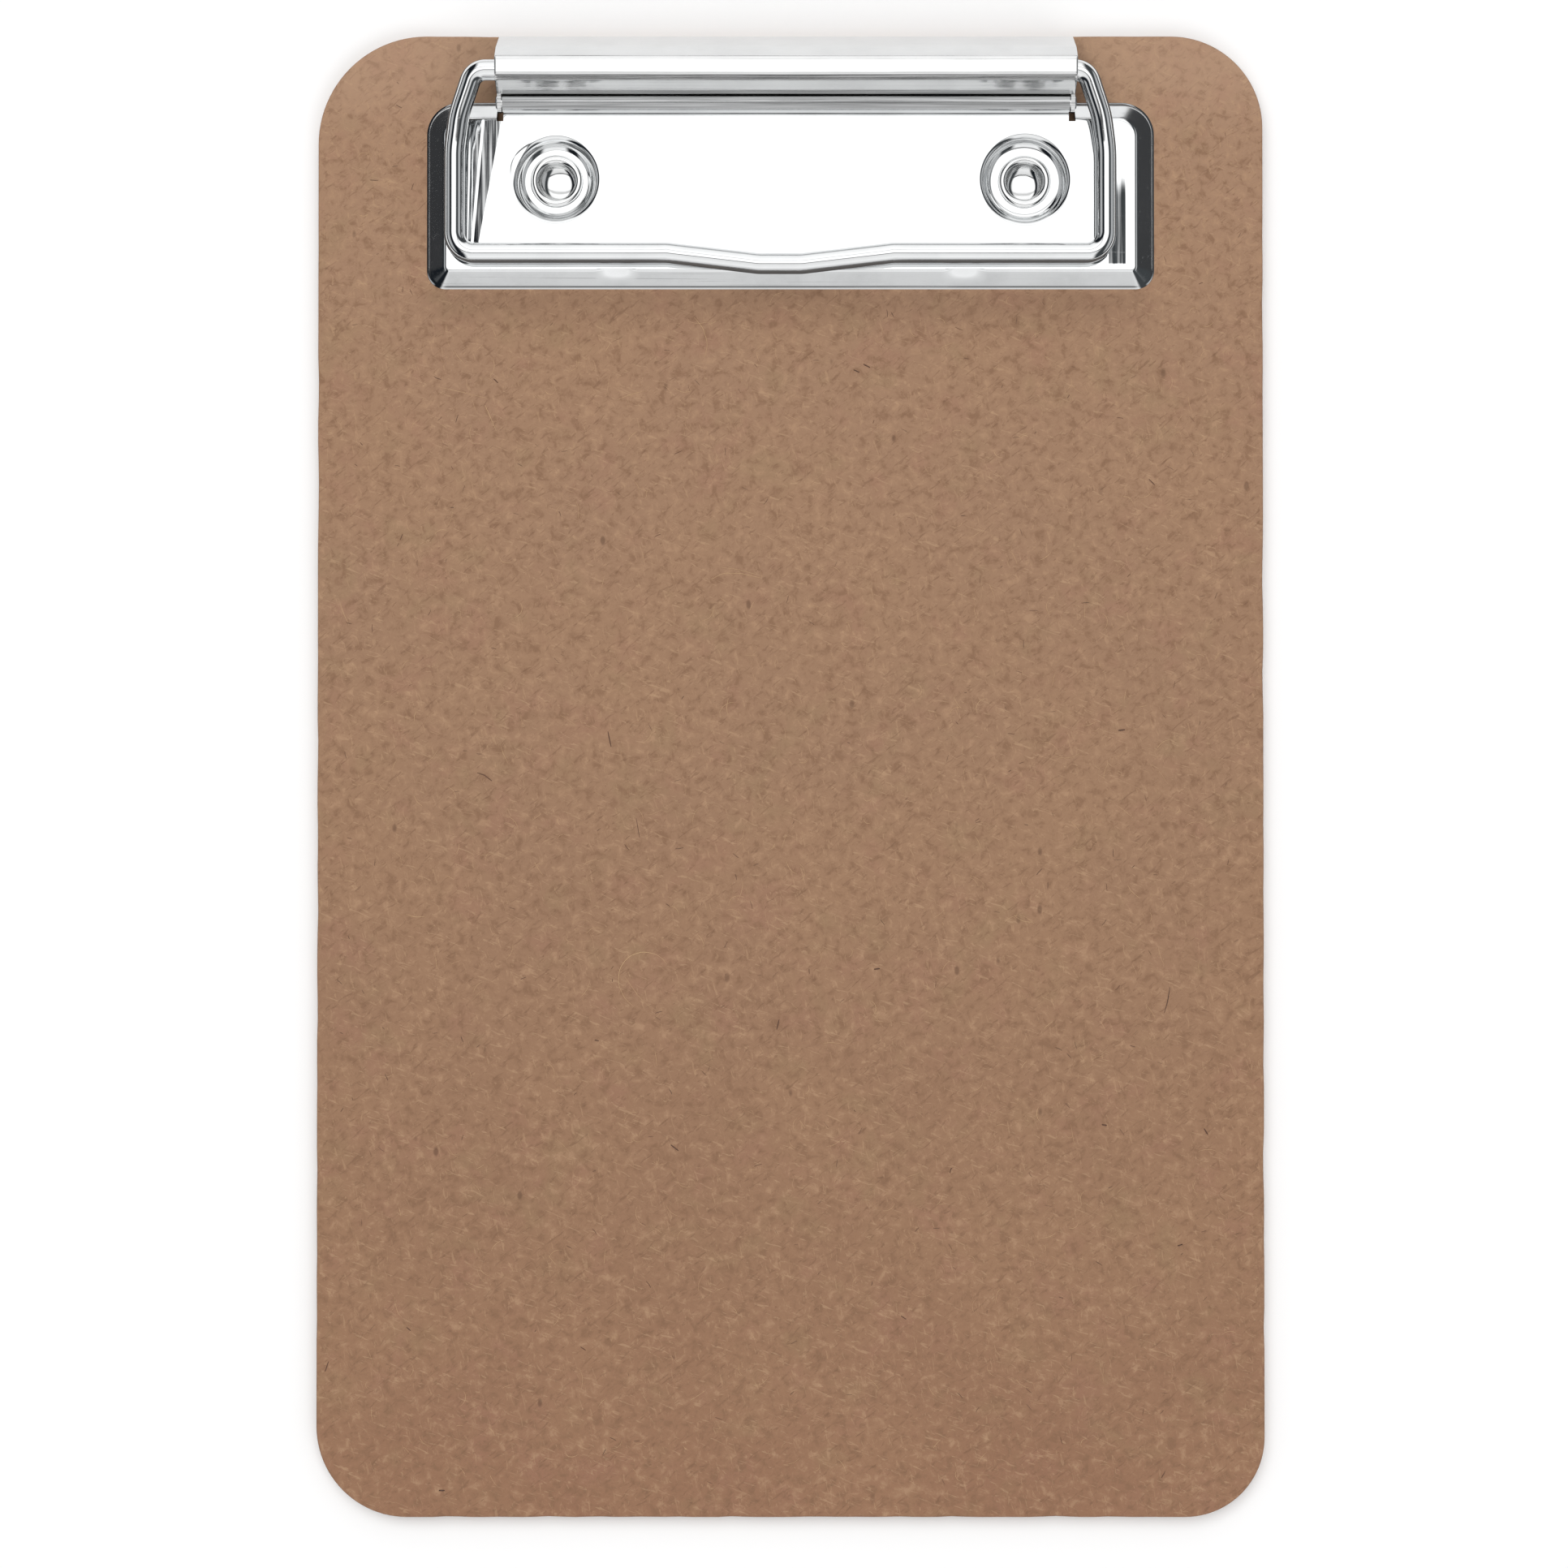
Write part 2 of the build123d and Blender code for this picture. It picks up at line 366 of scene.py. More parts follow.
def hardboard():
    """Brown hardboard: matted fibre with mottling, pale hairs and dark shive; a painted shadow in front of the clip
    and painted shade where the metal reflects it.
    """
    m, n, bsdf, co = new_material("hardboard_face")
    sep = n.add("ShaderNodeSeparateXYZ", Vector=co)
    x, y, z = sep.outputs
    # broad tone: paler at the clip end, redder and darker at the front edge
    base = n.ramp(n.map(y, -0.108, 0.108, 0.0, 1.0), [
        (0.0, srgb(151, 114, 90)), (0.18, srgb(153, 119, 94)), (0.5, srgb(158, 126, 101)),
        (0.8, srgb(163, 131, 106)), (1.0, srgb(170, 138, 113))])
    cloud = n.noise(co, 38.0, 3.0, 0.55)
    base = n.mix(n.map(cloud, 0.3, 0.7, 0.0, 0.55, True), base,
                 n.mix(0.5, base, srgb(168, 134, 104)))
    pink = n.noise(n.add("ShaderNodeMapping", Vector=co, Location=(1.3, 0.4, 0.0)).outputs[0],
                   170.0, 2.0, 0.5)
    base = n.mix(n.map(pink, 0.52, 0.74, 0.0, 0.30, True), base, srgb(160, 118, 100))
    green = n.noise(n.add("ShaderNodeMapping", Vector=co, Location=(4.1, 2.2, 0.0)).outputs[0],
                    150.0, 2.0, 0.5)
    base = n.mix(n.map(green, 0.55, 0.75, 0.0, 0.22, True), base, srgb(152, 132, 98))
    # mottling at 1 to 3 mm
    mot = n.noise(co, 620.0, 4.0, 0.62, 0.4)
    base = n.mix(n.map(mot, 0.30, 0.52, 0.78, 0.0, True), base, srgb(137, 105, 81))
    base = n.mix(n.map(mot, 0.52, 0.74, 0.0, 0.72, True), base, srgb(180, 147, 118))
    # short matted fibres in two directions
    heights = []
    for k, (sx, sy, rot, lo, hi, amt, col) in enumerate((
            (520.0, 2600.0, 0.35, 0.60, 0.72, 0.42, (192, 160, 128)),
            (2500.0, 560.0, -0.25, 0.60, 0.73, 0.38, (188, 155, 123)),
            (2400.0, 480.0, 0.9, 0.61, 0.74, 0.45, (120, 90, 69)),
            (560.0, 2500.0, -0.7, 0.61, 0.74, 0.40, (124, 93, 72)))):
        turned = n.add("ShaderNodeMapping", Vector=co, Location=(0.3 * k, 0.7 * k, 0.1 * k),
                       Rotation=(0.0, 0.0, rot)).outputs[0]
        bent = n.add("ShaderNodeMapping", Vector=turned, Scale=(sx, sy, 900.0)).outputs[0]
        f = n.noise(bent, 1.0, 2.0, 0.5, 0.9)
        mask = n.map(f, lo, hi, 0.0, 1.0, True)
        base = n.mix(n.math("MULTIPLY", mask, amt), base, srgb(*col))
        heights.append(n.math("MULTIPLY", mask, 1.0 if k < 2 else -0.8))
    # dark shive: sparse short specks
    cells = n.add("ShaderNodeTexVoronoi", Vector=n.add(
        "ShaderNodeMapping", Vector=co, Scale=(1.0, 0.55, 1.0)).outputs[0], Scale=330.0,
        Randomness=1.0)
    pick = n.add("ShaderNodeSeparateColor", Color=cells.outputs["Color"]).outputs[0]
    speck = n.math("MULTIPLY", n.map(cells.outputs["Distance"], 0.07, 0.16, 1.0, 0.0, True),
                   n.map(pick, 0.93, 0.96, 0.0, 1.0))
    base = n.mix(n.math("MULTIPLY", speck, 0.55), base, srgb(92, 66, 52))
    # sawn edges are darker and show the pressed layers
    normal = n.add("ShaderNodeSeparateXYZ",
                   Vector=n.add("ShaderNodeNewGeometry").outputs["Normal"]).outputs[2]
    side = n.map(n.math("ABSOLUTE", normal), 0.35, 0.8, 1.0, 0.0, True)
    layers = n.noise(n.add("ShaderNodeMapping", Vector=co, Scale=(160.0, 160.0, 2600.0)).outputs[0],
                     1.0, 3.0, 0.6)
    edge_tone = n.ramp(layers, [(0.3, srgb(112, 82, 62)), (0.55, srgb(142, 108, 82)),
                                (0.75, srgb(171, 138, 104))])
    base = n.mix(n.math("MULTIPLY", side, 0.85), base, edge_tone)
    base = n.mix(1.0, base, (0.905, 0.870, 0.850), "MULTIPLY")
    # painted shadow: the face is darkened in a band just in front of the clip, fading towards the front and beside
    # the clip
    painted_clip_shadow = n.map(y, 0.0700, 0.0625, 0.20, 0.0, True)
    beside = n.map(n.math("ABSOLUTE", x), 0.050, 0.057, 1.0, 0.0, True)
    base = n.mix(n.math("MULTIPLY", n.math("MULTIPLY", painted_clip_shadow, beside),
                        n.map(y, 0.0710, 0.0700, 0.0, 1.0)), base, srgb(96, 72, 58))
    pale_end = n.map(y, 0.092, 0.104, 0.0, 0.22, True)
    base = n.mix(pale_end, base, srgb(196, 164, 138))
    # painted shade: in the metal's reflections the board shows as dark grey instead of its own brown
    glossy = n.add("ShaderNodeLightPath").outputs["Is Glossy Ray"]
    base = n.mix(n.math("MULTIPLY", glossy, 0.93), base, (0.080, 0.080, 0.080))
    n.set(bsdf.inputs["Base Color"], base)
    n.set(bsdf.inputs["Roughness"], n.map(mot, 0.3, 0.7, 0.66, 0.82))
    bsdf.inputs["Specular IOR Level"].default_value = 0.32
    h = n.math("MULTIPLY", mot, 0.000045)
    for k in heights:
        h = n.math("ADD", h, n.math("MULTIPLY", k, 0.000012))
    h = n.math("ADD", h, n.math("MULTIPLY", n.math("MULTIPLY", layers, side), 0.00010))
    bump = n.add("ShaderNodeBump", Height=h, Distance=1.0, Strength=0.9)
    n.set(bsdf.inputs["Normal"], bump.outputs[0])
    return m


def fibre_material(name, light, dark):
    m, n, bsdf, co = new_material(name)
    v = n.noise(co, 260.0, 2.0, 0.5)
    n.set(bsdf.inputs["Base Color"], n.mix(n.map(v, 0.35, 0.65, 0.0, 1.0), dark, light))
    n.set(bsdf.inputs["Roughness"], n.map(v, 0.3, 0.7, 0.5, 0.7))
    return m


def wire_troughs(n, co):
    """Normals of the flat beside the wire's legs, where the sheet dips: a sideways lean that
    fades out softly, with fine ribs between."""
    x, y, z = n.add("ShaderNodeSeparateXYZ", Vector=co).outputs
    flat = n.map(z, 0.00515, 0.00535, 0.0, 1.0)
    streak = n.noise(n.add("ShaderNodeMapping", Vector=co, Scale=(1900.0, 55.0, 300.0)).outputs[0],
                     1.0, 3.0, 0.6, 0.4)
    run = n.math("ADD", n.math("MULTIPLY", n.map(y, 0.0775, 0.0965, 0.0, 0.0190), 0.185), 0.0020)
    u = n.math("SUBTRACT", n.math("ADD", run, -0.0472), x)
    f = n.math("DIVIDE", u, run)                      # 0 at the inner edge, 1 under the wire
    left = n.math("MULTIPLY", n.map(u, 0.0, 0.00016, 0.0, 1.0, True), n.map(f, 1.25, 1.15, 0.0, 1.0))
    for part, half in ((0.52, 0.00016), (0.88, 0.00013)):
        off = n.math("ABSOLUTE", n.math("SUBTRACT", u, n.math("MULTIPLY", run, part)))
        left = n.math("MULTIPLY", left, n.map(off, half * 0.5, half * 1.6, 0.12, 1.0, True))
    left = n.math("MULTIPLY", left, n.map(y, 0.0752, 0.0768, 0.0, 1.0, True))
    lean_l = n.math("MULTIPLY", left, n.map(streak, 0.3, 0.62, -0.24, -0.155))
    right = n.math("MULTIPLY", n.map(x, 0.0460, 0.0463, 0.0, 1.0),
                   n.map(x, 0.04862, 0.04880, 1.0, 0.0, True))
    right = n.math("MULTIPLY", right, n.map(y, 0.0835, 0.0905, 1.0, 0.0, True))
    right = n.math("MULTIPLY", right, n.map(y, 0.0738, 0.0744, 0.0, 1.0, True))
    lean_r = n.math("MULTIPLY", right, n.map(streak, 0.3, 0.62, 0.24, 0.17))
    lean = n.math("MULTIPLY", n.math("ADD", lean_l, lean_r), flat)
    vec = n.add("ShaderNodeCombineXYZ", X=lean).outputs[0]
    geo = n.add("ShaderNodeNewGeometry").outputs["Normal"]
    add = n.add("ShaderNodeVectorMath", p_operation="ADD", i0=geo, i1=vec).outputs[0]
    return n.add("ShaderNodeVectorMath", p_operation="NORMALIZE", i0=add).outputs[0]


NICKEL_SHEET = plated("nickel_sheet", (0.80, 0.81, 0.815), 0.045, 0.000016, 0.10, 60.0, wire_troughs, curl_shade_and_rough=True)
NICKEL_LEVER = plated("nickel_lever", (0.75, 0.755, 0.755), 0.10, 0.000030, 0.12, 75.0, None, 0.000030)
NICKEL_RIVET = plated("nickel_rivet", (0.78, 0.785, 0.785), 0.07, 0.000012, 0.10, 300.0)
NICKEL_WIRE = plated("nickel_wire", (0.80, 0.81, 0.815), 0.05, 0.000016, 0.10, 180.0)
BOARD_MAT = hardboard()
HAIR_LIGHT = fibre_material("pale_fibre", srgb(204, 170, 130), srgb(180, 146, 110))
HAIR_DARK = fibre_material("dark_fibre", srgb(104, 74, 58), srgb(78, 56, 46))


# ------------------------------------------------------------------ board
def build_board():
    """The sheet: sawn outline with four unlike corners, softly broken edges."""
    hx, hy = 69.0, 108.0
    radii = {"tl": 15.8, "bl": 13.2, "br": 11.6, "tr": 13.4}

    def outline(inset):
        pts = []
        for key, cx, cy, a0 in (("tr", hx, hy, 0), ("tl", -hx, hy, 90),
                                ("bl", -hx, -hy, 180), ("br", hx, -hy, 270)):
            r = radii[key]
            ox = cx - math.copysign(r, cx)
            oy = cy - math.copysign(r, cy)
            for k in range(25):
                a = math.radians(a0 + 90 * k / 24)
                pts.append((ox + (r - inset) * math.cos(a), oy + (r - inset) * math.sin(a)))
        # even steps along the straight sides
        out = []
        for i, p in enumerate(pts):
            q = pts[(i + 1) % len(pts)]
            d = math.hypot(q[0] - p[0], q[1] - p[1])
            n = 60 if d > 20 else 1
            for k in range(n):
                f = k / n
                out.append((p[0] + (q[0] - p[0]) * f, p[1] + (q[1] - p[1]) * f))
        return out

    rings = []
    r = 0.35
    prof = [(r * (1 - math.sin(math.radians(a))), r * (1 - math.cos(math.radians(a))))
            for a in range(0, 91, 15)]          # (inset, height from the back)
    levels = ([(i, h) for i, h in prof]
              + [(0.0, 0.35 + (ZB - 0.7) * k / 6) for k in range(1, 6)]
              + [(i, ZB - h) for i, h in reversed(prof)])
    verts, faces = [], []
    wob = [(rnd.uniform(-1, 1), rnd.uniform(0, 6.28)) for _ in range(14)]
    for li, (inset, z) in enumerate(levels):
        pts = outline(inset)
        idx = []
        n = len(pts)
        for k, (x, y) in enumerate(pts):
            # a saw's slight unevenness, inwards only
            t = 2 * math.pi * k / n
            w = sum(a * math.sin((9 + 7 * j) * t + p) for j, (a, p) in enumerate(wob))
            d = max(0.0, 0.035 * w + 0.02) if 0 < li < len(levels) - 1 else max(0.0, 0.02 + 0.035 * w)
            l = math.hypot(x / hx, y / hy)
            nx, ny = x / hx ** 1.0, y / hy
            m = math.hypot(nx, ny)
            x2, y2 = x - d * (1 if abs(nx) > abs(ny) else 0) * math.copysign(1, x), \
                y - d * (1 if abs(ny) >= abs(nx) else 0) * math.copysign(1, y)
            if abs(abs(nx) - abs(ny)) < 0.25:
                x2, y2 = x, y
            idx.append(len(verts))
            verts.append(Vector((x2, y2, z)))
        rings.append(idx)
    for a, b in zip(rings, rings[1:]):
        n = len(a)
        for k in range(n):
            j = (k + 1) % n
            faces.append((a[k], a[j], b[j], b[k]))
    # the two rivet holes, stepped for the heads on the back
    low_ids, top_ids = list(rings[0]), list(rings[-1])
    low_loops = [[verts[i] for i in low_ids]]
    top_loops = [[verts[i] for i in top_ids]]
    for cx in (-RIVET_X, RIVET_X):
        steps = []
        for r, z in ((5.6, 0.0), (5.6, 1.0), (3.05, 1.0), (3.05, ZB)):
            ring = []
            for k in range(64):
                a = -2 * math.pi * k / 64
                ring.append(len(verts))
                verts.append(Vector((cx + r * math.cos(a), RIVET_Y + r * math.sin(a), z)))
            steps.append(ring)
        for a_, b_ in zip(steps, steps[1:]):
            for k in range(64):
                j = (k + 1) % 64
                faces.append((a_[k], a_[j], b_[j], b_[k]))
        low_loops.append([verts[i] for i in steps[0]])
        low_ids += steps[0]
        top_loops.append([verts[i] for i in steps[-1]])
        top_ids += steps[-1]
    for loops, ids in ((low_loops, low_ids), (top_loops, top_ids)):
        for tri in tessellate_polygon(loops):
            faces.append(tuple(ids[i] for i in tri))
    return make_object("board_sheet", verts, faces, BOARD_MAT, "base", ["board"])


def build_fibres():
    """Loose surface fibres lying on the face: pale hairs and dark shive."""
    def strand(pts, r, verts, faces):
        path = [Vector(p) for p in pts]
        n = len(path)
        prev = None
        rings = []
        for i in range(n):
            a, b = path[max(0, i - 1)], path[min(n - 1, i + 1)]
            t = (b - a).normalized()
            side = t.cross(Vector((0, 0, 1))).normalized()
            taper = 0.35 + 0.65 * math.sin(math.pi * (i + 0.6) / (n + 0.2))
            rr = r * taper
            idx = []
            for q in range(4):
                ang = math.pi / 4 + q * math.pi / 2
                idx.append(len(verts))
                verts.append(path[i] + side * (rr * math.cos(ang)) + Vector((0, 0, rr * 0.75 * math.sin(ang))))
            rings.append(idx)
        for a, b in zip(rings, rings[1:]):
            for k in range(4):
                j = (k + 1) % 4
                faces.append((a[k], a[j], b[j], b[k]))
        faces.append(tuple(reversed(rings[0])))
        faces.append(tuple(rings[-1]))

    def inside(x, y, m=2.0):
        if abs(x) > 69 - m or abs(y) > 108 - m:
            return False
        if abs(x) > 52 and abs(y) > 91:
            dx, dy = abs(x) - 52, abs(y) - 91
            if math.hypot(dx, dy) > 15 - m:
                return False
        if abs(x) < 54.5 and 69.5 < y < 108:
            return False
        return True

    def px(u, v):
        return ((u - 974) / 8.45, (956.5 - v) / 8.45)

    def wander(x, y, a, length, bend, steps=9):
        pts = []
        k = bend
        for i in range(steps):
            pts.append((x, y, ZB + 0.004 + 0.004 * math.sin(i)))
            a += k + rnd.uniform(-0.12, 0.12)
            x += math.cos(a) * length / steps
            y += math.sin(a) * length / steps
        return pts

    lv, lf, dv, df = [], [], [], []
    # the larger pale hairs, at their places
    arcs = [
        ([(822, 1190), (812, 1178), (792, 1174), (774, 1180), (763, 1196), (762, 1215), (770, 1232), (782, 1243)], 0.055),
        ([(770, 1205), (786, 1228), (803, 1245)], 0.035),
        ([(855, 392), (866, 405), (872, 425), (868, 442)], 0.05),
        ([(845, 396), (858, 400), (872, 398)], 0.03),
        ([(876, 716), (890, 708), (912, 708), (938, 714)], 0.045),
        ([(884, 700), (912, 704), (940, 712)], 0.03),
        ([(597, 500), (604, 516), (611, 532)], 0.045),
        ([(540, 478), (566, 484), (600, 492)], 0.03),
        ([(500, 1128), (512, 1132), (524, 1131)], 0.05),
        ([(760, 494), (775, 488), (796, 482)], 0.035),
        ([(1300, 934), (1316, 937), (1330, 930)], 0.04),
        ([(1250, 1130), (1258, 1140), (1270, 1138)], 0.04),
        ([(770, 552), (776, 540), (784, 533)], 0.035),
        ([(420, 748), (424, 760), (430, 772)], 0.035),
        ([(1236, 1140), (1246, 1128), (1262, 1130), (1274, 1140)], 0.03),
    ]
    for pts, r in arcs:
        p3 = [Vector((*px(u, v), ZB + 0.006)) for u, v in pts]
        path = fillet_path(p3, [3.0] * (len(p3) - 2), 10) if len(p3) > 2 else p3
        strand(resample(path, 0.6), r, lv, lf)
    darks = [
        ([(749, 903), (751, 913), (753, 922)], 0.10), ([(588, 954), (597, 957), (606, 964)], 0.10),
        ([(1064, 450), (1072, 454)], 0.12), ([(1052, 457), (1059, 460)], 0.09),
        ([(1378, 902), (1386, 901)], 0.12), ([(960, 1258), (957, 1270)], 0.10),
        ([(1441, 1218), (1438, 1236), (1434, 1250)], 0.075), ([(1077, 1196), (1084, 1195)], 0.13),
        ([(733, 1283), (738, 1284)], 0.09), ([(1483, 1392), (1487, 1399)], 0.12),
        ([(1357, 1387), (1363, 1388)], 0.14), ([(827, 1412), (836, 1419)], 0.12),
        ([(542, 1836), (549, 1836)], 0.14), ([(608, 468), (613, 473)], 0.10),
        ([(1416, 592), (1423, 599)], 0.09), ([(1172, 1440), (1170, 1446)], 0.08),
        ([(1450, 1536), (1456, 1534)], 0.11), ([(716, 1660), (722, 1664)], 0.09),
        ([(1110, 1622), (1116, 1626)], 0.09), ([(402, 1690), (406, 1678)], 0.09),
        ([(784, 1010), (788, 1034)], 0.05), ([(502, 1636), (507, 1640)], 0.08),
    ]
    for pts, r in darks:
        p3 = [Vector((*px(u, v), ZB + 0.004)) for u, v in pts]
        strand(resample(p3, 0.5), r, dv, df)
    for _ in range(520):
        x, y = rnd.uniform(-67, 67), rnd.uniform(-106, 106)
        if inside(x, y, 5.0):
            strand(wander(x, y, rnd.uniform(0, 6.28), rnd.uniform(1.2, 3.6), rnd.uniform(-0.28, 0.28)),
                   rnd.uniform(0.016, 0.030), lv, lf)
    for _ in range(330):
        x, y = rnd.uniform(-67, 67), rnd.uniform(-106, 106)
        if inside(x, y, 3.0):
            strand(wander(x, y, rnd.uniform(0, 6.28), rnd.uniform(0.5, 1.6), rnd.uniform(-0.15, 0.15), 4),
                   rnd.uniform(0.022, 0.055), dv, df)
    a = make_object("pale_fibres", lv, lf, HAIR_LIGHT, "base")
    b = make_object("dark_fibres", dv, df, HAIR_DARK, "base")
    return a, b


# ------------------------------------------------------------------ base plate
DART_X = (-25.3, 25.3)


def build_plate():
    """A pressed sheet: flat with two dimples, bevelled rim, darts and the rear curl.
    Every point of the upper skin has its partner one sheet thickness below."""
    up, low, faces = [], [], []

    def add(p, q):
        up.append(Vector(p))
        low.append(Vector((q[0], q[1], max(q[2], ZB + 0.003))))
        return len(up) - 1

    def with_normals(prof, side):
        """(u, z) points with the partner point one sheet below, on the given side."""
        out = []
        n = len(prof)
        for i, (u, z) in enumerate(prof):
            a, b = prof[max(0, i - 1)], prof[min(n - 1, i + 1)]
            du, dz = b[0] - a[0], b[1] - a[1]
            m = math.hypot(du, dz) or 1.0
            out.append((u, z, u + side * -dz / m * SP, z + side * du / m * SP))
        return out

    tilt = math.atan2(PH, BEV)
    r_b = 0.75
    tb = r_b * math.tan(tilt / 2)
    # profile from the flat's edge outwards: (inset from the foot, height)
    prof = [(BEV + tb + 0.05, PH)]
    nb = 9
    for k in range(nb + 1):
        a = tilt * k / nb
        prof.append((BEV + tb - r_b * math.sin(a), PH - r_b * (1 - math.cos(a))))
    x0, z0 = prof[-1]
    x1, z1 = 0.34, PH * (0.34 / BEV)
    for k in range(1, 9):
        prof.append((x0 + (x1 - x0) * k / 8, z0 + (z1 - z0) * k / 8))
    # the foot turns down a little at the cut edge
    prof += [(0.22, 0.165), (0.12, 0.095), (0.05, 0.045), (0.0, 0.004)]
    prof = with_normals(prof, 1)
    S = len(prof)

    def at(side, t, d, z, d_top):
        f = min(1.0, max(0.0, d) / BEV)
        rf, rr = 2.7 + (0.75 - 2.7) * f, 4.8 + (2.6 - 4.8) * f
        df = d * BEV_FRONT / BEV if d < BEV else d - BEV + BEV_FRONT
        xl, xr, y0, y1 = -PX + d, PX - d, PY0 + df, PY1 - d
        if side == "front":
            x = (xl + rf) + (xr - xl - 2 * rf) * t
            y = y0
            for c in DART_X:
                u = (x - c) / 3.3
                if abs(u) < 1:
                    lift = (0.5 + 0.5 * math.cos(math.pi * u)) ** 0.75
                    y += 0.60 * lift * smoothstep(0.45, 1.0, d_top / BEV) * min(1.0, d_top / BEV)
                    z -= 0.10 * lift * smoothstep(0.60, 1.05, d_top / BEV)
            return x, y, z
        if side == "left":
            return xl, (y1 - rr) + (y0 + rf - y1 + rr) * t, z
        if side == "right":
            return xr, (y0 + rf) + (y1 - rr - y0 - rf) * t, z
        if side == "rear_l":
            xa, xb = SHIFT - CURL_HALF - 0.98, -PX + d + rr
            return xa + (xb - xa) * t, y1, z
        if side == "rear_r":
            xa, xb = PX - d - rr, SHIFT + CURL_HALF + 0.98
            return xa + (xb - xa) * t, y1, z
        start, cx, cy, r = {
            "fr": (-90, xr - rf, y0 + rf, rf), "rr": (0, xr - rr, y1 - rr, rr),
            "rl": (90, xl + rr, y1 - rr, rr), "fl": (180, xl + rf, y0 + rf, rf)}[side]
        a = math.radians(start + 90 * t)
        return cx + r * math.cos(a), cy + r * math.sin(a), z

    cols = [("rear_l", k / 6) for k in range(0, 7)]
    for side, n in (("rl", 24), ("left", 60), ("fl", 16), ("front", 420), ("fr", 16),
                    ("right", 60), ("rr", 24), ("rear_r", 6)):
        cols += [(side, k / n) for k in range(1, n + 1)]
    grid = []
    for side, t in cols:
        col = []
        for d, z, d2, z2 in prof:
            p = at(side, t, d, z, d)
            q = at(side, t, d2, z2, d)
            col.append(add((p[0], p[1], ZB + p[2]), (q[0], q[1], ZB + q[2])))
        grid.append(col)
    for a, b in zip(grid, grid[1:]):
        for s in range(S - 1):
            faces.append((a[s], a[s + 1], b[s + 1], b[s]))
    flat_loop = [c[0] for c in grid]          # from the rear left, round the front

    # rear tongue and curl, thickened away from the hinge axis
    y_edge = PY1 - (BEV + tb + 0.05)
    hz = HZ - ZB
    curl = [(y_edge + (HY - y_edge) * k / 4, PH, y_edge + (HY - y_edge) * k / 4, PH - SP)
            for k in range(0, 5)]
    n_c = 48
    for k in range(1, n_c + 1):
        a = math.radians(-90 + (199 + 90) * k / n_c)
        curl.append((HY + CURL_IN * math.cos(a), hz + CURL_IN * math.sin(a),
                     HY + CURL_OUT * math.cos(a), hz + CURL_OUT * math.sin(a)))
    xr0, xl0 = SHIFT + CURL_HALF, SHIFT - CURL_HALF
    n_x = 180
    cgrid = []
    for k in range(n_x + 1):
        x = xr0 + (xl0 - xr0) * k / n_x
        col = []
        for j, (y, z, y2, z2) in enumerate(curl):
            # the curl's free edge isn't perfectly straight
            e = smoothstep(len(curl) - 9, len(curl) - 1, j)
            dz = e * (0.018 * math.sin(x * 0.21 + 1.0) + 0.012 * math.sin(x * 0.57))
            shrink = 0.02 * (0.5 + 0.5 * math.sin(x * 0.13 + 2.0)) if j > 5 else 0.0
            col.append(add((x, y, ZB + z + dz),
                           (x, y2 - (y2 - y) * shrink, ZB + z2 - (z2 - z) * shrink + dz)))
        cgrid.append(col)
    for a, b in zip(cgrid, cgrid[1:]):
        for s in range(len(curl) - 1):
            faces.append((a[s], a[s + 1], b[s + 1], b[s]))
    outline = flat_loop + [c[0] for c in cgrid]

    # dimples: rings from the flat down to the floor and its rivet hole
    nseg = 96

    def bowed(p):
        """Only for the triangulation: straight edges bowed out, so that it keeps every point."""
        x, y = p.x, p.y
        if y < 75.0:
            y -= 1.5 * (1 - (x / 54.0) ** 2)
        elif y > 94.0:
            y += 1.5 * (1 - (x / 54.0) ** 2)
        elif abs(x) > 49.0:
            x += math.copysign(1.5 * (1 - ((y - 84.5) / 13.0) ** 2), x)
        return Vector((x, y, 0.0))

    loops = [[bowed(up[i]) for i in outline]]
    ids = list(outline)
    for cx, r_lip, r_foot in ((-RIVET_X, 6.50, 5.05), (RIVET_X, 6.78, 5.50)):
        pr = [(r_lip - 0.85 * math.cos(math.radians(90 - 52 * k / 8)),
               PH - 0.85 + 0.85 * math.sin(math.radians(90 - 52 * k / 8))) for k in range(9)]
        lip, foot = pr[-1], (r_foot, SP + 0.30)
        pr += [(lip[0] + (foot[0] - lip[0]) * k / 4, lip[1] + (foot[1] - lip[1]) * k / 4)
               for k in range(1, 5)]
        pr += [(r_foot - 0.42 * (1 - (1 - k / 7) ** 1.6), SP + 0.30 * (1 - k / 7) ** 1.8)
               for k in range(1, 8)]
        pr += [(4.5, SP), (4.0, SP), (3.5, SP), (3.08, SP)]
        pr = with_normals(pr, 1)
        pr = [(r, z, max(r2, 3.08), z2) for r, z, r2, z2 in pr]
        rings = []
        for j, (r, z, r2, z2) in enumerate(pr):
            ring = []
            for k in range(nseg):
                a = -2 * math.pi * k / nseg
                dr = dz = 0.0
                if cx < 0:
                    # a second, shallow strike beside the first
                    ang = math.degrees(a) % 360
                    b = smoothstep(0, 1, 1 - abs(ang - 155) / 40.0) if abs(ang - 155) < 40 else 0.0
                    table = ((0.62, 0.0), (0.54, 0.07), (0.36, 0.11), (0.16, 0.11), (0.04, 0.08),
                             (0.0, 0.05), (0.0, 0.02))
                    if j < len(table):
                        dr, dz = table[j][0] * b, -table[j][1] * b
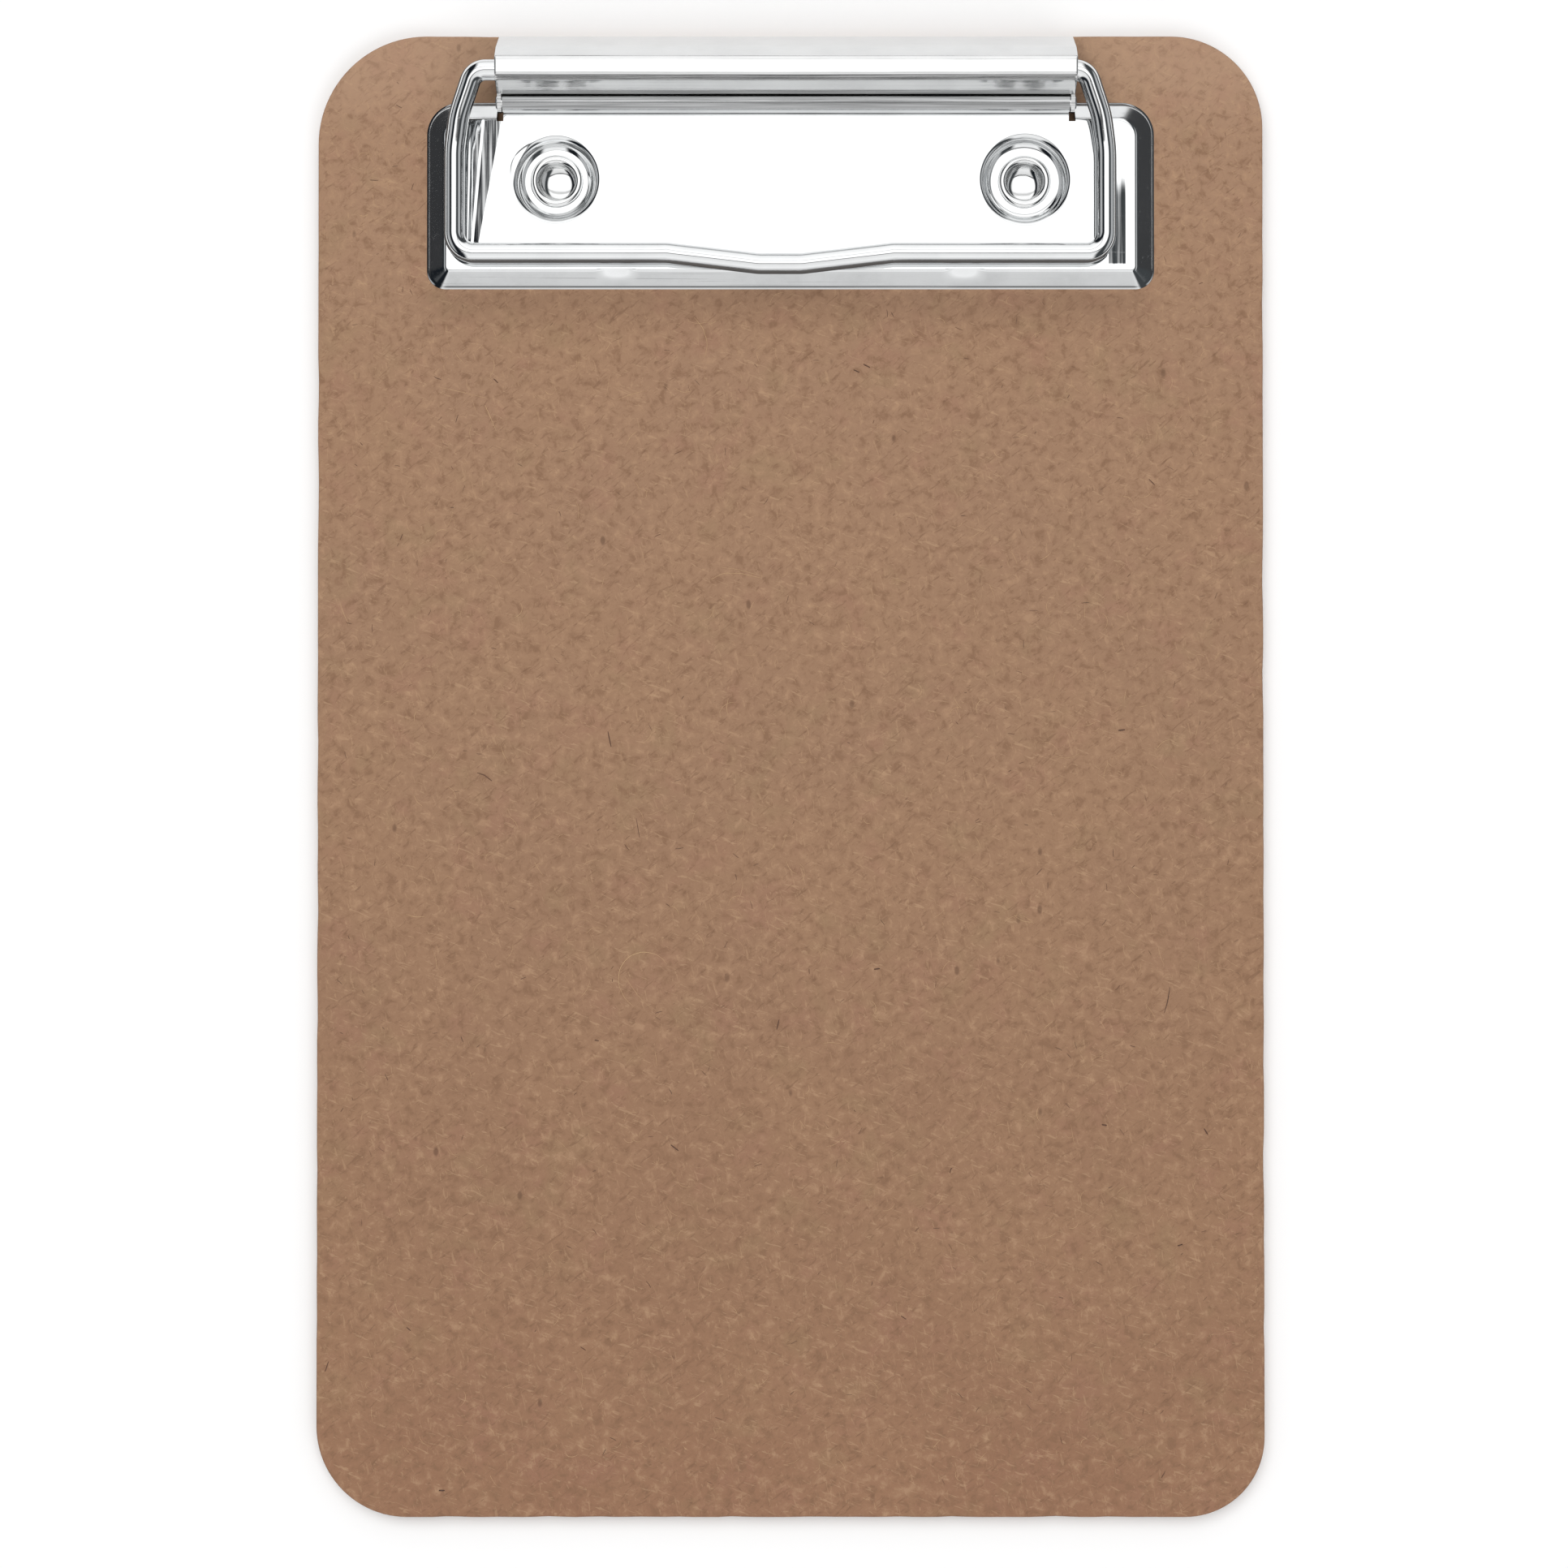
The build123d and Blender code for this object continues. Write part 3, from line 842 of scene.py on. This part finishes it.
                # neither dimple is perfectly round
                s = 1 + 0.006 * math.cos(2 * a + cx)
                ca, sa = math.cos(a), math.sin(a)
                ring.append(add((cx + (r + dr) * s * ca, RIVET_Y + (r + dr) * s * sa, ZB + z + dz),
                                (cx + (r2 + dr) * s * ca, RIVET_Y + (r2 + dr) * s * sa,
                                 ZB + z2 + dz)))
            rings.append(ring)
        for a_, b_ in zip(rings, rings[1:]):
            for k in range(nseg):
                j = (k + 1) % nseg
                faces.append((a_[k], a_[j], b_[j], b_[k]))
        loops.append([Vector((up[i].x, up[i].y, 0.0)) for i in rings[0]])
        ids += rings[0]
    for tri in tessellate_polygon(loops):
        faces.append(tuple(ids[i] for i in tri))

    # the upper skin's faces, all facing up or out
    bm = bmesh.new()
    vs = [bm.verts.new(v * MM) for v in up]
    bm.verts.ensure_lookup_table()
    for f in faces:
        try:
            bm.faces.new([vs[i] for i in f])
        except ValueError:
            pass
    bmesh.ops.recalc_face_normals(bm, faces=bm.faces)
    flat = max(bm.faces, key=lambda f: f.calc_area())
    flip = flat.normal.z < 0
    bm.verts.index_update()
    skin = []
    for f in bm.faces:
        ring = [v.index for v in f.verts]
        skin.append(tuple(reversed(ring)) if flip else tuple(ring))
    bm.free()
    n = len(up)
    count = {}
    for f in skin:
        for i, j in zip(f, f[1:] + f[:1]):
            count[(i, j)] = count.get((i, j), 0) + 1
    rim = [(i, j) for (i, j) in count if (j, i) not in count]
    all_faces = skin + [tuple(i + n for i in reversed(f)) for f in skin]
    all_faces += [(j, i, i + n, j + n) for i, j in rim]
    return make_object("plate_shell", up + low, all_faces, NICKEL_SHEET, "base",
                       ["clip_base_plate"])


# ------------------------------------------------------------------ rivets
def build_rivet(name, cx, node, tilt):
    """Semi-tubular rivet: flat head on the back, rim rolled over on the plate."""
    bore, out = 2.6, 3.85
    zf = ZB + SP
    rc, rm = (bore + out) / 2, (out - bore) / 2
    prof = [(0.0, 0.05), (4.9, 0.05), (5.15, 0.10), (5.38, 0.25), (5.48, 0.5), (5.5, 0.8),
            (5.5, 1.0), (3.0, 1.0), (3.0, 2.0), (3.0, zf)]
    prof += [(3.3, zf), (3.6, zf), (out - 0.05, zf + 0.02)]
    prof += [(rc + rm * math.cos(math.radians(a)), zf + 0.05 + (rm - 0.05) * math.sin(math.radians(a)))
             for a in range(8, 181, 8)]
    prof += [(bore, zf), (bore - 0.03, zf - 0.6), (bore - 0.05, zf - 1.0), (bore - 0.09, 2.62),
             (bore - 0.16, 2.42), (bore - 0.32, 2.24), (bore - 0.58, 2.11), (1.65, 2.03), (1.2, 1.975),
             (0.7, 1.94), (0.3, 1.925), (0.0, 1.92)]
    verts, faces = revolve(prof, 0.0, 0.0, 96)
    # the rim was rolled a little unevenly
    for v in verts:
        if v.z > ZB + SP + 0.01:
            a = math.atan2(v.y, v.x)
            k = (v.z - zf) / rm
            grow = 1 + 0.020 * math.sin(a + tilt) + 0.010 * math.sin(3 * a + tilt * 2)
            v.z = zf + (v.z - zf) * min(1.0, 0.93 + 0.07 * math.cos(a * 2 + tilt))
            if k > 0.1:
                r = math.hypot(v.x, v.y)
                s = 1 + (grow - 1) * (1.0 if r > rc else 0.3)
                s = min(s, 3.849 / r if r > 3.5 else s)
                v.x *= s
                v.y *= s
    # the punch went in a little off centre
    for v in verts:
        if 1.5 < v.z < 2.9 and math.hypot(v.x, v.y) < bore:
            k = 1 - smoothstep(2.1, 2.9, v.z)
            v.x += k * (0.42 if cx < 0 else -0.12)
            v.y += k * (-0.10 if cx < 0 else -0.36)
    verts = [Vector((v.x + cx, v.y + RIVET_Y, v.z)) for v in verts]
    return make_object(name, verts, faces, NICKEL_RIVET, "base", [node])


# ------------------------------------------------------------------ lever and rod
OUTER = [(98.36, 4.64), (99.72, 7.70), (100.50, 8.645), (102.85, 8.79), (104.75, 6.7), (107.65, 1.2)]


def offset_chain(points, d):
    out = []
    n = len(points)
    for i in range(n):
        ns = []
        for a, b in ((i - 1, i), (i, i + 1)):
            if a >= 0 and b < n:
                dx, dy = points[b][0] - points[a][0], points[b][1] - points[a][1]
                m = math.hypot(dx, dy)
                ns.append((dy / m, -dx / m))
        bx, by = sum(v[0] for v in ns), sum(v[1] for v in ns)
        k = 2.0 / (bx * bx + by * by) * d if len(ns) == 2 else d
        out.append((points[i][0] + bx * k, points[i][1] + by * k))
    return out


def build_lever():
    """The pressed section runs the whole length; a cheek closes each end."""
    outer = fillet_path([(y, z, 0) for y, z in OUTER], [1.0, 0.5, 1.05, 2.6], 3.0)
    inner = fillet_path([(y, z, 0) for y, z in offset_chain(OUTER, SL)], [0.8, 0.2, 0.45, 2.0], 3.0)
    outer = resample(outer, 0.5)
    inner = resample(inner, 0.5)
    # rounded cut edges
    def cap(a, b, n=5):
        c = (a + b) / 2
        e = (b - a) / 2
        t = Vector((-e.y, e.x, 0))
        pts = []
        for k in range(1, n):
            f = math.pi * k / n
            pts.append(c - e * math.cos(f) + t * (-0.35) * math.sin(f))
        return pts
    lip_cap = cap(outer[-1], inner[-1])
    front_cap = cap(inner[0], outer[0])
    # the rounding stays within the section
    lip_dir = (outer[-1] - outer[-2]).normalized()
    outer[-1] = outer[-1] - lip_dir * 0.12
    inner[-1] = inner[-1] - lip_dir * 0.12
    lip_cap = [p - lip_dir * 0.12 if (p - outer[-1]).dot(lip_dir) > 0 else p for p in cap(outer[-1], inner[-1])]
    f_dir = (outer[0] - outer[1]).normalized()
    outer[0] = outer[0] - f_dir * 0.12
    inner[0] = inner[0] - f_dir * 0.12
    fc = cap(inner[0], outer[0])
    loop = outer + lip_cap + list(reversed(inner)) + fc
    N = len(loop)
    x0, x1 = SHIFT - LEVER_HALF, SHIFT + LEVER_HALF
    nx = 150
    xs = [x0 + (x1 - x0) * k / nx for k in range(nx + 1)]
    inset = 0.09
    stations = [(x0, inset), (x0 + 0.03, inset * 0.3), (x0 + 0.09, 0.0)]
    stations += [(x, 0.0) for x in xs if x0 + 0.12 < x < x1 - 0.12]
    stations += [(x1 - 0.09, 0.0), (x1 - 0.03, inset * 0.3), (x1, inset)]
    # inward direction at each point of the loop, for the broken end edges
    mid = offset_chain(OUTER, SL / 2)
    midp = resample(fillet_path([(y, z, 0) for y, z in mid], [0.9, 0.3, 0.75, 2.3], 4.0), 0.4)
    inward = []
    for p in loop:
        q = min(midp, key=lambda c: (c - p).length)
        d = (q - p)
        inward.append(d.normalized() if d.length > 1e-6 else Vector((0, 0, 0)))
    verts, faces, rings = [], [], []
    for x, ins in stations:
        idx = []
        u = (x - SHIFT) / LEVER_HALF
        for p, d in zip(loop, inward):
            y, z = p.x + d.x * ins, p.y + d.y * ins
            # the pressing is a few hundredths out of true along its length
            top = smoothstep(6.0, 8.5, z)
            z2 = z - 0.05 * top * (0.5 + 0.5 * math.sin(x * 0.085 + 0.8)) - 0.012 * top * (0.5 + 0.5 * math.sin(x * 0.31))
            y2 = y - 0.03 * smoothstep(4.0, 7.0, z) * (0.5 + 0.5 * math.sin(x * 0.06 + 2.0))
            idx.append(len(verts))
            verts.append(Vector((x, y2, ZB + z2)))
        rings.append(idx)
    for a, b in zip(rings, rings[1:]):
        for k in range(N):
            j = (k + 1) % N
            faces.append((a[k], b[k], b[j], a[j]))
    faces.append(tuple(rings[0]))
    faces.append(tuple(reversed(rings[-1])))

    # cheeks: rounded outline, two holes
    m = offset_chain(OUTER, SL * 0.75)
    for xa, xb in ((x0 + 0.02, x0 + SL), (x1 - SL, x1 - 0.02)):
        hz = HZ - ZB
        body = [(HY - 1.15, hz + 0.95), (m[0][0], m[0][1] + 0.25), m[1], m[3], m[4],
                (106.5, 3.1), (101.5, 2.4), (HY + 0.6, hz - 1.37)]
        rr = [0.25, 0.5, 0.6, 1.5, 0.5, 0.8]
        # start on the round end about the rod
        pts = fillet_path([(y, z, 0) for y, z in body], rr, 8.0)
        a1 = math.atan2(pts[0].y - hz, pts[0].x - HY)
        a0 = math.atan2(pts[-1].y - hz, pts[-1].x - HY)
        a_from, a_to = a0, a1
        while a_to > a_from:
            a_to -= 2 * math.pi
        arc = []
        n = 24
        for k in range(1, n):
            a = a_from + (a_to - a_from) * k / n
            arc.append(Vector((HY + 1.5 * math.cos(a), hz + 1.5 * math.sin(a), 0)))
        outline = pts + arc
        holes = [[Vector((HY + 0.75 * math.cos(-2 * math.pi * k / 40),
                          hz + 0.75 * math.sin(-2 * math.pi * k / 40), 0)) for k in range(40)],
                 [Vector((SHY + 1.56 * math.cos(-2 * math.pi * k / 48),
                          SHZ - ZB + 1.56 * math.sin(-2 * math.pi * k / 48), 0)) for k in range(48)]]
        loops = [outline] + holes
        tris = tessellate_polygon([[Vector((p.x, p.y, 0)) for p in l] for l in loops])
        sides = []
        for x in (xa, xb):
            ids = []
            for l in loops:
                for p in l:
                    ids.append(len(verts))
                    verts.append(Vector((x, p.x, ZB + p.y)))
            sides.append(ids)
            for t in tris:
                faces.append(tuple(ids[i] for i in (t if x == xa else reversed(t))))
        off = 0
        for l in loops:
            n = len(l)
            for k in range(n):
                j = (k + 1) % n
                faces.append((sides[0][off + k], sides[0][off + j], sides[1][off + j], sides[1][off + k]))
            off += n
    return make_object("lever_shell", verts, faces, NICKEL_LEVER, "lever",
                       ["clip_lever"], bevel=None)


def mark_sharp(ob, deg):
    bm = bmesh.new()
    bm.from_mesh(ob.data)
    for e in bm.edges:
        if len(e.link_faces) == 2 and e.calc_face_angle(0) > math.radians(deg):
            e.smooth = False
    bm.to_mesh(ob.data)
    bm.free()
    wn = ob.modifiers.new("normals", "WEIGHTED_NORMAL")
    wn.mode = "FACE_AREA"
    wn.weight = 60
    wn.keep_sharp = True
    bake_modifiers(ob)


def build_rod():
    h = LEVER_HALF + 0.3
    prof = [(-h, 0.0), (-h, 0.55), (-h + 0.05, 0.80), (-h + 0.16, 0.98), (-h + 0.28, 1.05),
            (-LEVER_HALF, 1.05), (-LEVER_HALF, 0.75), (-20.0, 0.75), (20.0, 0.75), (LEVER_HALF, 0.75),
            (LEVER_HALF, 1.05), (h - 0.28, 1.05), (h - 0.16, 0.98), (h - 0.05, 0.80), (h, 0.55), (h, 0.0)]
    verts, faces = revolve([(r, x) for x, r in prof], 0.0, 0.0, 48)
    verts = [Vector((SHIFT + v.z, HY + v.x, HZ + v.y)) for v in verts]
    return make_object("hinge_rod", verts, faces, NICKEL_RIVET, "lever", ["pivot_rod"])


# ------------------------------------------------------------------ jaw wire
def build_wire():
    leg = [(38.6, SHY, SHZ), (44.2, SHY, SHZ), (46.5, 95.3, BAR_Z + 0.75), (LEG_X, 90.5, BAR_Z),
           (LEG_X, BAR_Y, BAR_Z), (VEE_X, BAR_Y, BAR_Z), (VEE_TIP, BAR_Y - VEE_DROP, BAR_Z)]
    pts = [(W - x, y, z) for x, y, z in leg] + [(W + x, y, z) for x, y, z in reversed(leg)]
    path = fillet_path(pts, [2.4, 14.0, 12.0, 2.9, 4.0, 6.0, 6.0, 4.0, 2.9, 12.0, 14.0, 2.4], 3.0)
    path = resample(path, 0.8)
    verts, faces = tube(path, WR, 56)
    # bending marks where the V starts
    marks = [(Vector((W - 16.6, BAR_Y, BAR_Z)), 1), (Vector((W + 16.6, BAR_Y, BAR_Z)), -1)]
    for v in verts:
        for c, s in marks:
            d = Vector((v.x - c.x, 0, 0)).length
            if d < 1.6:
                up = v - Vector((v.x, BAR_Y, BAR_Z))
                if up.length > 0.5:
                    k = 0.5 + 0.5 * math.cos(math.pi * d / 1.6)
                    face = max(0.0, up.normalized().dot(Vector((0, -0.35, 0.94))))
                    v -= up.normalized() * (0.07 * k * smoothstep(0.6, 1.0, face))
    return make_object("wire_frame", verts, faces, NICKEL_WIRE, "jaw", ["jaw_wire"])


board = build_board()
fibres = build_fibres()
plate = build_plate()
build_rivet("rivet_tube_left", -RIVET_X, "rivet_left", 0.6)
build_rivet("rivet_tube_right", RIVET_X, "rivet_right", 2.9)
lever = build_lever()
rod = build_rod()
wire = build_wire()
for ob in (board, plate, lever, rod):
    mark_sharp(ob, 42)


# ------------------------------------------------------------------ floor, light, camera
def build_floor():
    me = bpy.data.meshes.new("floor")
    s = 3.0
    me.from_pydata([(-s, -s, -0.00005), (s, -s, -0.00005), (s, s, -0.00005), (-s, s, -0.00005)],
                   [], [(0, 1, 2, 3)])
    ob = bpy.data.objects.new("floor", me)
    bpy.context.scene.collection.objects.link(ob)
    m, n, bsdf, co = new_material("pale_floor")
    v = n.noise(co, 3.0, 3.0, 0.5)
    n.set(bsdf.inputs["Base Color"], n.mix(n.map(v, 0.3, 0.7, 0.0, 1.0), (0.975, 0.975, 0.975),
                                           (0.96, 0.96, 0.96)))
    bsdf.inputs["Roughness"].default_value = 0.9
    bsdf.inputs["Specular IOR Level"].default_value = 0.1
    me.materials.append(m)


def build_world():
    """A soft studio: bright overhead, pale at both ends, dim at the sides and low down."""
    w = bpy.data.worlds.new("studio")
    bpy.context.scene.world = w
    w.use_nodes = True
    w.node_tree.nodes.clear()
    n = Nodes(w.node_tree)
    out = n.add("ShaderNodeOutputWorld")
    d = n.add("ShaderNodeTexCoord").outputs["Generated"]
    sep = n.add("ShaderNodeSeparateXYZ", Vector=d)
    x, y, z = sep.outputs
    # along Y: pale grey towards the front, a narrow dim gap, then bright
    t = n.map(y, -1.0, 1.0, 0.0, 1.0)
    along = n.ramp(t, [(0.0, (0.76,) * 3), (0.035, (0.88,) * 3), (0.08, (1.10,) * 3),
                       (0.385, (0.92,) * 3), (0.405, (0.13,) * 3), (0.437, (0.13,) * 3),
                       (0.457, (1.5,) * 3), (0.66, (1.5,) * 3), (0.685, (0.75,) * 3),
                       (0.705, (0.75,) * 3), (0.73, (1.4,) * 3), (1.0, (1.1,) * 3)])
    side = n.map(n.math("ABSOLUTE", x), 0.30, 0.48, 0.0, 1.0, True)
    dark = n.mix(n.map(x, -0.3, 0.3, 0.0, 1.0), (0.010, 0.013, 0.017), (0.058, 0.064, 0.068))
    # a grey card on each side, half way up, so the metal isn't black from the side
    card = n.math("MULTIPLY", n.map(n.math("ABSOLUTE", x), 0.68, 0.80, 0.0, 1.0, True),
                  n.map(z, 0.20, 0.30, 0.0, 1.0, True))
    dark = n.mix(card, dark, (0.52, 0.53, 0.54))
    c = n.mix(side, along, dark)
    low = n.map(z, 0.060, 0.135, 1.0, 0.0, True)
    c = n.mix(n.math("MULTIPLY", low, 0.88), c, (0.05, 0.05, 0.052))
    path = n.add("ShaderNodeLightPath")
    glossy = n.add("ShaderNodeBackground", Color=c, Strength=1.0)
    plain = n.add("ShaderNodeBackground", Color=(0.93, 0.93, 0.93, 1.0), Strength=1.0)
    soft = n.add("ShaderNodeBackground", Color=(0.90, 0.90, 0.90, 1.0), Strength=0.52)
    m1 = n.add("ShaderNodeMixShader", i0=path.outputs["Is Diffuse Ray"], i1=glossy.outputs[0],
               i2=soft.outputs[0])
    m2 = n.add("ShaderNodeMixShader", i0=path.outputs["Is Camera Ray"], i1=m1.outputs[0],
               i2=plain.outputs[0])
    w.node_tree.links.new(m2.outputs[0], out.inputs[0])


def area(name, loc, target, size, energy, glossy=False):
    l = bpy.data.lights.new(name, "AREA")
    l.shape = "RECTANGLE"
    l.size, l.size_y = size
    l.energy = energy
    ob = bpy.data.objects.new(name, l)
    bpy.context.scene.collection.objects.link(ob)
    ob.location = loc
    ob.rotation_euler = (Vector(target) - Vector(loc)).to_track_quat("-Z", "Y").to_euler()
    ob.visible_glossy = glossy
    return ob


def build_camera():
    cam = bpy.data.cameras.new("camera")
    ob = bpy.data.objects.new("camera", cam)
    bpy.context.scene.collection.objects.link(ob)
    dist = 0.450
    tilt = math.radians(0.65)
    aim = Vector((-0.95 * MM, -1.35 * MM, ZB * MM))
    ob.location = aim + Vector((0, -math.sin(tilt), math.cos(tilt))) * dist
    ob.rotation_euler = (tilt, 0, 0)
    cam.sensor_width = 36.0
    cam.lens = 8.452 * (dist / MM) / 1932.0 * 36.0
    cam.clip_start = 0.01
    cam.clip_end = 20.0
    bpy.context.scene.camera = ob


build_floor()
build_world()
area("overhead", (-0.15, 0.35, 0.95), (0, 0, 0), (0.9, 0.7), 5.1)
area("fill", (0.25, -0.55, 0.75), (0, 0, 0), (0.8, 0.6), 2.1)
build_camera()
bpy.context.scene.view_settings.view_transform = "Standard"
bpy.context.scene.view_settings.look = "None"
